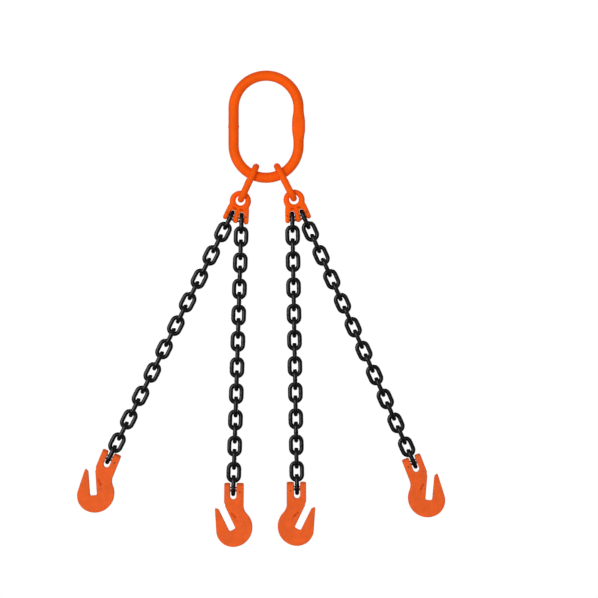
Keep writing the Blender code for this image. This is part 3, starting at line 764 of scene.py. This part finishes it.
# ---- clevis grab hook ------------------------------------------------------------------------


def arc(centre, radius, start, end, steps):
    """Points on an arc about centre (x, z), angles in degrees from +X."""
    turns = [math.radians(start + (end - start) * step / steps) for step in range(steps + 1)]
    return [(centre[0] + radius * math.cos(turn), centre[1] + radius * math.sin(turn))
            for turn in turns]


def throat_point(along, across):
    """A point measured from the throat's floor, up the throat and towards the neck."""
    x = THROAT_BOTTOM[0] - along * math.sin(THROAT_LEAN) + across * math.cos(THROAT_LEAN)
    z = THROAT_BOTTOM[1] + along * math.cos(THROAT_LEAN) + across * math.sin(THROAT_LEAN)
    return x, z


def cheek_end(right, left):
    """The top of a cheek between these two sides, with its two round corners."""
    corner, top = CHEEK_CORNER, CHEEK_TOP - CHEEK_CORNER
    return (arc((right - corner, top), corner, 0, 90, CHEEK_CORNER_STEPS)
            + arc((left + corner, top), corner, 90, 180, CHEEK_CORNER_STEPS))


def clevis_outline():
    """Both cheeks and the round slot between them, from the back cheek to the point side."""
    slot = HOOK_HALF_SLOT
    bottom = arc((0.0, slot - HOOK_SLOT_DEPTH), slot, 0, -180, HOOK_SLOT_STEPS)
    return cheek_end(CHEEK_BACK_SIDE, slot) + bottom + cheek_end(-slot, CHEEK_POINT_SIDE)


def throat_outline():
    """From the step under the cheek, down the neck, round the throat's floor and up the point."""
    half = THROAT_HALF_WIDTH
    turn = math.degrees(THROAT_LEAN)
    floor = []
    for across in (half - THROAT_CORNER, THROAT_CORNER - half):
        centre = throat_point(THROAT_CORNER, across)
        floor += arc(centre, THROAT_CORNER, turn, turn - 90, THROAT_CORNER_STEPS)
        turn -= 90
    tip = POINT_TIP_WIDTH / 2
    rise = (POINT_TOP - tip - throat_point(0, -half)[1]) / math.cos(THROAT_LEAN)
    point = arc((POINT_OUTER + tip, POINT_TOP - tip), tip, *POINT_TIP_TURN, POINT_TIP_STEPS)
    return [*NECK_STEP, *floor, throat_point(rise, -half), *point]


def bowl_outline():
    """Round the bowl from the point to the back, then up the hollow of the neck."""
    back_centre = (0.0, BOWL_BOTTOM + BOWL_BACK_RADIUS)
    fillet_x = CHEEK_BACK_SIDE + NECK_FILLET
    fillet_rise = math.sqrt((BOWL_BACK_RADIUS + NECK_FILLET) ** 2 - fillet_x ** 2)
    meet = math.degrees(math.atan2(fillet_rise, fillet_x))
    point_centre = (0.0, BOWL_BOTTOM + BOWL_POINT_RADIUS)
    fillet_centre = (fillet_x, back_centre[1] + fillet_rise)
    bowl = arc(point_centre, BOWL_POINT_RADIUS, BOWL_POINT_START, 270, BOWL_POINT_STEPS)
    bowl += arc(back_centre, BOWL_BACK_RADIUS, 270, 360 + meet, BOWL_BACK_STEPS)[1:]
    return bowl + arc(fillet_centre, NECK_FILLET, 180 + meet, 180, NECK_FILLET_STEPS)[1:]


def hook_half_thickness(x, z):
    """Round cheek ends, a thick clevis, a thinner bowl and a point that thins towards its tip."""
    if z > 0:
        return min(CHEEK_HALF_THICKNESS, math.sqrt(max(CHEEK_END_RADIUS ** 2 - z ** 2, 0.0)))
    waist = smoothstep((z - NECK_BOTTOM) / (NECK_TOP - NECK_BOTTOM))
    half = BOWL_HALF_THICKNESS + (CHEEK_HALF_THICKNESS - BOWL_HALF_THICKNESS) * waist
    throat_x = THROAT_BOTTOM[0] - (z - THROAT_BOTTOM[1]) * math.tan(THROAT_LEAN)
    if x < throat_x and z > POINT_BASE:
        share = min(1.0, (z - POINT_BASE) / (POINT_TOP - POINT_BASE))
        return half + (POINT_HALF_THICKNESS - half) * share
    return half


def grab_hook(sizes):
    """A hook, hung from its load pin at the origin, with its point on -X."""
    outline = clevis_outline() + throat_outline() + bowl_outline()
    body = forged(plate("hook", outline, CHEEK_HALF_THICKNESS), sizes)
    for vert in body.vertices:
        vert.co.y *= hook_half_thickness(vert.co.x, vert.co.z) / CHEEK_HALF_THICKNESS
    for line, share in ((NECK_DIMPLE, 1.0), (NECK_DIMPLE_TAIL, TAIL_SHARE)):
        press(body, *line, DIMPLE_WIDTH, sizes.neck_dimple * share, BOWL_HALF_THICKNESS)
    body = cut(body, bore(PIN_RADIUS + BORE_GAP, -BORE_REACH, BORE_REACH, SIDEWAYS))
    return cut(body, spring_pin_hole(Matrix.Translation(HOOK_CROSS)))


# ---- pins ------------------------------------------------------------------------------------


def load_pin(start, end, notch):
    """A chamfered pin along X, notched where its spring pin crosses it."""
    profile = ((start, PIN_RADIUS - PIN_CHAMFER), (start + PIN_CHAMFER, PIN_RADIUS),
               (end - PIN_CHAMFER, PIN_RADIUS), (end, PIN_RADIUS - PIN_CHAMFER))
    pin = turned("load_pin", profile, PIN_SIDES, SIDEWAYS)
    return cut(pin, spring_pin_hole(Matrix.Translation(notch)))


def spring_pin(half_length):
    """A pin coiled from strip: each end shows the slit beside the strip and a small hollow."""
    end = ((half_length - SPRING_PIN_CHAMFER, SPRING_PIN_RADIUS),
           (half_length, SPRING_PIN_RADIUS - SPRING_PIN_CHAMFER),
           (half_length, SPRING_PIN_COIL),
           (half_length - SPRING_PIN_HOLLOW, SPRING_PIN_COIL))
    profile = [(-along, radius) for along, radius in reversed(end)] + list(end)
    pin = turned("spring_pin", profile, SPRING_PIN_SIDES, THICKNESS)
    # the slit runs from the hollow out past the skin
    deep, proud = -SPRING_PIN_COIL / 2, -2 * SPRING_PIN_RADIUS
    slit = plate("slit", ((-SPRING_PIN_SLIT, proud), (SPRING_PIN_SLIT, proud),
                          (SPRING_PIN_SLIT, deep), (-SPRING_PIN_SLIT, deep)), SPRING_PIN_SLIT_DEPTH)
    for side in (1, -1):
        pin = cut(pin, moved(slit, Matrix.Translation(THICKNESS * (side * half_length))))
    return pin


# ---- placing ---------------------------------------------------------------------------------


def joint_point(name):
    return Vector(JOINTS[name]["pos_m"])


def hung(origin, across, turned_round=False):
    """Places a piece with its +X along the joint's axis, to the right or else turned round."""
    across = Vector(across).normalized()
    if (across.x < 0) != turned_round:
        across = -across
    thickness = -THICKNESS if turned_round else THICKNESS
    up = across.cross(thickness)
    return Matrix.Translation(origin) @ Matrix((across, thickness, up)).transposed().to_4x4()


def hung_on(name, turned_round=False):
    joint = JOINTS[name]
    return hung(joint_point(name), joint["axis"], turned_round)


def add_piece(name, mesh, place, body, material, slot, *nodes):
    """One visible piece at its place.  It rides on its body and stands for its CAD nodes."""
    mesh = moved(mesh, place)
    mesh.materials.clear()
    mesh.materials.append(material)
    mesh.shade_smooth()
    mesh.set_sharp_from_angle(angle=SHARP_EDGE)
    item = bpy.data.objects.new(name, mesh)
    bpy.context.scene.collection.objects.link(item)
    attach(item, body)
    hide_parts(*nodes)


MATERIALS = {}


def shared(make, colour):
    """The material that this function makes, made only once."""
    if make.__name__ not in MATERIALS:
        MATERIALS[make.__name__] = make(colour)
    return MATERIALS[make.__name__]


class SLING_OT_master_link(bpy.types.Operator):
    """Adds the oblong master link with its flattened limb and its weld"""

    bl_idname = "sling.master_link"
    bl_label = "Master Link"

    def execute(self, context):
        coat = shared(powder_coated_steel, context.scene.sling_finishes.fitting_orange)
        add_piece("master_link_bar", master_link(context.scene.sling_links), Matrix.Identity(4),
                  "master_link", coat, "upper_fitting_paint", "master_link")
        return {"FINISHED"}


class SLING_OT_intermediate_links(bpy.types.Operator):
    """Adds the two intermediate links that hang on the master link"""

    bl_idname = "sling.intermediate_links"
    bl_label = "Intermediate Links"

    def execute(self, context):
        coat = shared(powder_coated_steel, context.scene.sling_finishes.fitting_orange)
        mesh = intermediate_link(context.scene.sling_links)
        for hand in HANDS:
            body = f"intermediate_{hand}"
            add_piece(f"intermediate_link_bar_{hand}", mesh, hung_on(f"{body}_swing"), body, coat,
                      "upper_fitting_paint", f"intermediate_link_{hand}")
        return {"FINISHED"}


class SLING_OT_connectors(bpy.types.Operator):
    """Adds the two twin clevis connectors"""

    bl_idname = "sling.connectors"
    bl_label = "Twin Clevis Connectors"

    def execute(self, context):
        coat = shared(powder_coated_steel, context.scene.sling_finishes.fitting_orange)
        mesh = twin_clevis(context.scene.sling_forgings)
        for hand in HANDS:
            body = f"connector_{hand}"
            add_piece(f"connector_forging_{hand}", mesh, hung_on(f"{body}_swing"), body, coat,
                      "upper_fitting_paint", f"twin_clevis_{hand}")
        return {"FINISHED"}


class SLING_OT_chains(bpy.types.Operator):
    """Adds the four chains, link by link"""

    bl_idname = "sling.chains"
    bl_label = "Chains"

    def execute(self, context):
        lacquer = shared(lacquered_chain_steel, context.scene.sling_finishes.chain_black)
        sizes = context.scene.sling_links
        mesh = welded_link("chain_link", sizes.chain_bar - CHAIN_SEAT_GAP,
                           sizes.chain_inner_length + CHAIN_SEAT_GAP, sizes.chain_inner_width,
                           sizes.weld_share * CHAIN_WELD, CHAIN_SIDES, CHAIN_CROWN_STEPS)
        for leg in LEGS:
            top, bottom = joint_point(f"chain_{leg}_1_swing"), joint_point(f"hook_{leg}_swing")
            down = (bottom - top).normalized()
            pitch = ((bottom - top).length - 2 * PINNED_LINK_DROP) / (LINKS_PER_LEG - 1)
            hinges = [joint for joint in frame["joints"]
                      if joint["name"].startswith(f"chain_{leg}_")]
            for number in range(1, LINKS_PER_LEG + 1):
                drop = PINNED_LINK_DROP + (number - 1) * pitch
                above = [hinge for hinge in hinges
                         if (Vector(hinge["pos_m"]) - top).dot(down) < drop]
                body = above[-1]["child"]
                # links lie across and along by turns, and their welds change sides in pairs
                turn = math.radians(90.0 * (number % 2) + 180.0 * (number // 2 % 2))
                place = hung(top + down * drop, THICKNESS.cross(-down))
                place = place @ Matrix.Rotation(turn, 4, "Z")
                add_piece(f"chain_link_{leg}_{number:02d}", mesh, place, body, lacquer,
                          "black_chain_finish", body)
        return {"FINISHED"}


class SLING_OT_hooks(bpy.types.Operator):
    """Adds the four clevis grab hooks, with their points outwards"""

    bl_idname = "sling.hooks"
    bl_label = "Grab Hooks"

    def execute(self, context):
        coat = shared(coated_forging, context.scene.sling_finishes.hook_orange)
        mesh = grab_hook(context.scene.sling_forgings)
        for leg in LEGS:
            place = hung_on(f"hook_{leg}_swing", leg.endswith("right"))
            add_piece(f"hook_forging_{leg}", mesh, place, f"hook_{leg}", coat, "hook_paint",
                      f"hook_{leg}")
        return {"FINISHED"}


class SLING_OT_pins(bpy.types.Operator):
    """Adds the load pins and the spring pins that keep them"""

    bl_idname = "sling.pins"
    bl_label = "Pins"

    def execute(self, context):
        ground = shared(ground_pin_steel, context.scene.sling_finishes.pin_steel)
        oiled = shared(oiled_spring_steel, context.scene.sling_finishes.spring_steel)
        prong_side = CLEVIS_HALF_SLOT + 2 * PRONG_HALF_WIDTH
        clevis_pin = load_pin(PIN_SEAT + PIN_RECESS, prong_side - PIN_RECESS, CLEVIS_CROSS)
        clevis_keeper = spring_pin(PRONG_HALF_THICKNESS - SPRING_PIN_RECESS)
        hook_pin = load_pin(CHEEK_POINT_SIDE + PIN_RECESS, CHEEK_BACK_SIDE - PIN_RECESS, HOOK_CROSS)
        hook_keeper = spring_pin(CHEEK_HALF_THICKNESS - SPRING_PIN_RECESS)
        for leg in LEGS:
            connector = f"connector_{leg.split('_')[1]}"
            clevis = hung_on(f"chain_{leg}_1_swing", CLEVIS_SIDE[leg] < 0)
            hook = hung_on(f"hook_{leg}_swing", leg.endswith("right"))
            add_piece(f"load_pin_clevis_{leg}", clevis_pin, clevis, connector, ground,
                      "load_pin_steel", f"clevis_{leg}_pin")
            clevis = clevis @ Matrix.Translation(CLEVIS_CROSS)
            add_piece(f"spring_pin_clevis_{leg}", clevis_keeper, clevis, connector, oiled,
                      "spring_pin_steel", f"clevis_{leg}_spring_pin")
            add_piece(f"load_pin_hook_{leg}", hook_pin, hook, f"hook_{leg}", ground,
                      "load_pin_steel", f"hook_{leg}_pin")
            hook = hook @ Matrix.Translation(HOOK_CROSS)
            add_piece(f"spring_pin_hook_{leg}", hook_keeper, hook, f"hook_{leg}", oiled,
                      "spring_pin_steel", f"hook_{leg}_spring_pin")
        return {"FINISHED"}


# ---- stage -----------------------------------------------------------------------------------


def add_floor(drop):
    """A round pale floor under the sling.  It keeps the sling's shadow."""
    shape = bmesh.new()
    bmesh.ops.create_circle(shape, cap_ends=True, segments=FLOOR_SIDES, radius=FLOOR_RADIUS)
    floor = bpy.data.objects.new("floor", finish_mesh("floor", shape))
    floor.location = DOWN * drop
    bpy.context.scene.collection.objects.link(floor)
    material, tree, shader, place = new_material(
        "matt_floor_paint", Metallic=0.0, IOR=1.45, Roughness=0.9)
    # brushed paint, a shade lighter and darker over about 330 mm
    clouds = noise(tree, place, 1000 / 3, 2.0)
    tone = ramp(tree, clouds, (0.0, linear("#F6F6F4")), (1.0, linear("#FAFAF9")))
    wire(tree, shader, Base_Color=tone)
    floor.data.materials.append(material)


def light_world(ambient):
    """White to the camera and in reflections, and soft light from all round on the sling."""
    world = bpy.data.worlds.new("studio")
    world.use_nodes = True
    tree = world.node_tree
    tree.nodes.clear()
    path = add(tree, "ShaderNodeLightPath").outputs
    seen = path["Is Camera Ray"]
    for other in ("Is Glossy Ray", "Is Transmission Ray"):
        either = add(tree, "ShaderNodeMath", {"operation": "MAXIMUM"}, {0: seen, 1: path[other]})
        seen = either.outputs[0]
    soft = add(tree, "ShaderNodeBackground", {"Color": WHITE, "Strength": ambient})
    white = add(tree, "ShaderNodeBackground", {"Color": WHITE, "Strength": 1.0})
    mixed = add(tree, "ShaderNodeMixShader",
                links={0: seen, 1: soft.outputs[0], 2: white.outputs[0]})
    add(tree, "ShaderNodeOutputWorld", links={"Surface": mixed.outputs[0]})
    bpy.context.scene.world = world


def add_lamp(name, power, diameter, offset, only_gleam):
    """A round lamp that looks at the middle of the sling, from this far off."""
    lamp = bpy.data.lights.new(name, "AREA")
    lamp.shape = "DISK"
    lamp.size = diameter
    lamp.energy = power
    item = bpy.data.objects.new(name, lamp)
    low, high = (Vector(corner) for corner in CAD_BOX)
    item.location = (low + high) / 2 + offset
    item.rotation_euler = (-offset).to_track_quat("-Z", "Y").to_euler()
    item.visible_camera = False
    item.visible_diffuse = not only_gleam
    bpy.context.scene.collection.objects.link(item)


class SLING_OT_stage(bpy.types.Operator):
    """Adds the floor, the soft studio light and the camera"""

    bl_idname = "sling.stage"
    bl_label = "Stage"

    def execute(self, context):
        studio = context.scene.sling_studio
        add_floor(studio.floor_drop)
        light_world(studio.ambient)
        for name, (diameter, offset, only_gleam) in LAMPS.items():
            add_lamp(name, getattr(studio, name), diameter, Vector(offset), only_gleam)
        camera = bpy.data.cameras.new("camera")
        camera.lens = CAMERA_LENS
        camera.sensor_width = CAMERA_SENSOR
        camera.clip_end = CAMERA_REACH
        item = bpy.data.objects.new("camera", camera)
        item.location = CAMERA_PLACE
        item.rotation_euler = (math.radians(90.0), 0.0, 0.0)
        context.scene.collection.objects.link(item)
        context.scene.camera = item
        context.scene.view_settings.view_transform = "Standard"
        return {"FINISHED"}


class SLING_PT_panel(bpy.types.Panel):
    bl_label = "Chain Sling"
    bl_space_type = "VIEW_3D"
    bl_region_type = "UI"
    bl_category = "Sling"

    def draw(self, context):
        for group in (name for name, kind in GROUPS):
            box = self.layout.box()
            values = getattr(context.scene, group)
            for name in values.__annotations__:
                box.prop(values, name)
        for operator in OPERATORS:
            self.layout.operator(operator.bl_idname)


GROUPS = (
    ("sling_links", LinkSizes),
    ("sling_forgings", ForgingSizes),
    ("sling_finishes", Finishes),
    ("sling_studio", Studio),
)
OPERATORS = (
    SLING_OT_master_link,
    SLING_OT_intermediate_links,
    SLING_OT_connectors,
    SLING_OT_chains,
    SLING_OT_hooks,
    SLING_OT_pins,
    SLING_OT_stage,
)


def register():
    for name, kind in GROUPS:
        bpy.utils.register_class(kind)
        setattr(bpy.types.Scene, name, bpy.props.PointerProperty(type=kind))
    for kind in (*OPERATORS, SLING_PT_panel):
        bpy.utils.register_class(kind)


def unregister():
    for kind in reversed((*OPERATORS, SLING_PT_panel)):
        bpy.utils.unregister_class(kind)
    for name, kind in reversed(GROUPS):
        delattr(bpy.types.Scene, name)
        bpy.utils.unregister_class(kind)


def main():
    register()
    bpy.ops.sling.master_link()
    bpy.ops.sling.intermediate_links()
    bpy.ops.sling.connectors()
    bpy.ops.sling.chains()
    bpy.ops.sling.hooks()
    bpy.ops.sling.pins()
    bpy.ops.sling.stage()


if __name__ == "__main__":
    main()
